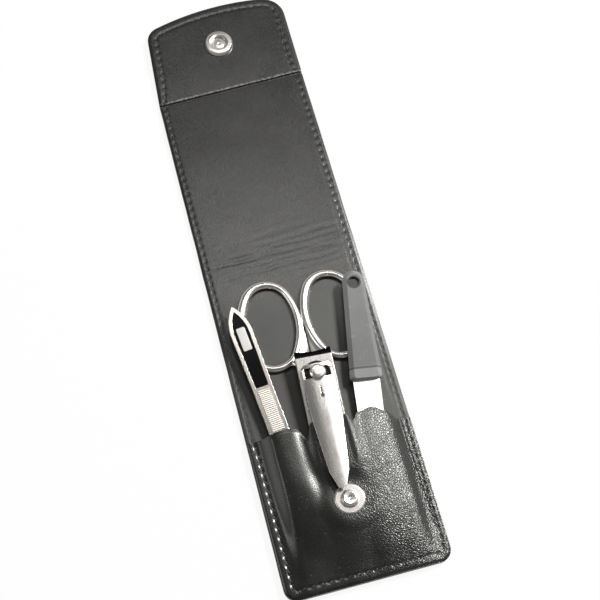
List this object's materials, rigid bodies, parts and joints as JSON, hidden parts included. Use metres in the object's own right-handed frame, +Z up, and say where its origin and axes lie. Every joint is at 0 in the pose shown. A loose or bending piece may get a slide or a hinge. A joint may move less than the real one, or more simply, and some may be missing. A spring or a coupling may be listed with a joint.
{
  "type": "manicure set case",
  "caption": "Folding leather manicure case lying open, with a moulded pocket that holds tweezers, scissors, a nail clipper and a nail file; its cover folds over and a snap flap closes it.",
  "frame": {"origin": "centre of the open case outline, on the surface that it lies on", "axes": "+Y from the pocket end towards the snap flap, +Z up, +X to the right when seen from the pocket end"},
  "size_m": [0.0656, 0.265, 0.0139],
  "materials": {
    "outer_leather": "black grained leather, semi-matt",
    "pocket_leather": "black wet-moulded leather with a soft gloss",
    "lining_leather": "grey smooth lining leather",
    "facing_leather": "dark grey smooth facing leather",
    "board": "grey fibre board",
    "snap_metal": "bright plated",
    "rivet_metal": "plated",
    "tool_steel": "polished",
    "inlay": "gloss black",
    "plaque": "satin",
    "handle_plastic": "smoky translucent, satin"
  },
  "bodies": {
    "base": {"base_leather": "outer_leather", "base_board": "board", "base_lining": "lining_leather", "pocket_front": "pocket_leather", "snap_stud": "snap_metal", "stud_post": "rivet_metal"},
    "spine": {"spine_leather": "outer_leather", "spine_lining": "lining_leather"},
    "cover": {"cover_leather": "outer_leather", "cover_board": "board", "cover_lining": "lining_leather"},
    "flap": {"flap_leather": "outer_leather", "flap_facing": "facing_leather", "snap_socket": "snap_metal", "socket_spring": "rivet_metal", "socket_cap": "rivet_metal"},
    "scissor_pivot": {"scissor_screw": "tool_steel"},
    "scissor_left": {"scissor_left": "tool_steel"},
    "scissor_right": {"scissor_right": "tool_steel"},
    "clipper": {"clipper_lower_jaw": "tool_steel", "clipper_rivet": "tool_steel"},
    "clipper_top": {"clipper_upper_jaw": "tool_steel"},
    "clipper_post": {"clipper_pin": "tool_steel"},
    "clipper_lever": {"clipper_lever": "tool_steel"},
    "tweezers": {"tweezer_upper_arm": "tool_steel", "tweezer_inlay": "inlay", "tweezer_plaque": "plaque"},
    "tweezer_spring": {"tweezer_lower_arm": "tool_steel"},
    "file": {"file_handle": "handle_plastic", "file_blade": "tool_steel"}
  },
  "joints": [
    {"name": "case_fold", "type": "hinge", "parent": "base", "child": "spine", "pos_m": [0, -0.001, 0.0024], "axis": [1, 0, 0], "range_deg": [0, 90]},
    {"name": "cover_fold", "type": "hinge", "parent": "spine", "child": "cover", "pos_m": [0, 0.012, 0.0024], "axis": [1, 0, 0], "range_deg": [0, 90]},
    {"name": "flap_bend", "type": "hinge", "parent": "cover", "child": "flap", "pos_m": [0, 0.089, 0.0006], "axis": [-0.999, -0.0454, 0], "range_deg": [-38, 60]},
    {"name": "scissors_slide", "type": "slide", "parent": "base", "child": "scissor_pivot", "axis": [-0.0349, -0.9994, 0], "range_m": [-0.06, 0]},
    {"name": "scissor_left_open", "type": "hinge", "parent": "scissor_pivot", "child": "scissor_left", "pos_m": [0.0006, -0.0625, 0.00385], "axis": [0, 0, -1], "range_deg": [-12, 0]},
    {"name": "scissor_right_open", "type": "hinge", "parent": "scissor_pivot", "child": "scissor_right", "pos_m": [0.0006, -0.0625, 0.00385], "axis": [0, 0, -1], "range_deg": [0, 12]},
    {"name": "clipper_slide", "type": "slide", "parent": "base", "child": "clipper", "axis": [-0.0558, -0.9981, -0.0262], "range_m": [-0.06, 0]},
    {"name": "jaw_press", "type": "hinge", "parent": "clipper", "child": "clipper_top", "pos_m": [-0.00102, -0.08574, 0.00653], "axis": [-0.9984, 0.0558, 0], "range_deg": [0, 1.9], "stiffness_Nm_per_rad": 4},
    {"name": "pin_turn", "type": "hinge", "parent": "clipper", "child": "clipper_post", "pos_m": [0.00093, -0.0509, 0.01121], "axis": [-0.0015, -0.0261, 0.9997], "range_deg": [-180, 0]},
    {"name": "lever_lift", "type": "hinge", "parent": "clipper_post", "child": "clipper_lever", "pos_m": [0.00092, -0.05092, 0.01181], "axis": [0.9984, -0.0558, 0], "range_deg": [-10, 0]},
    {"name": "tweezers_slide", "type": "slide", "parent": "base", "child": "tweezers", "axis": [0.1079, -0.9931, -0.0454], "range_m": [-0.06, 0]},
    {"name": "tweezer_squeeze", "type": "hinge", "parent": "tweezers", "child": "tweezer_spring", "pos_m": [-0.02325, -0.03053, 0.00677], "axis": [-0.9942, -0.108, 0], "range_deg": [0, 0.8], "stiffness_Nm_per_rad": 5},
    {"name": "file_slide", "type": "slide", "parent": "base", "child": "file", "axis": [-0.146, -0.9885, -0.0401], "range_m": [-0.06, 0]}
  ],
  "couplings": [
    {"joint": "scissor_right_open", "follows": "scissor_left_open", "ratio": -1}
  ]
}
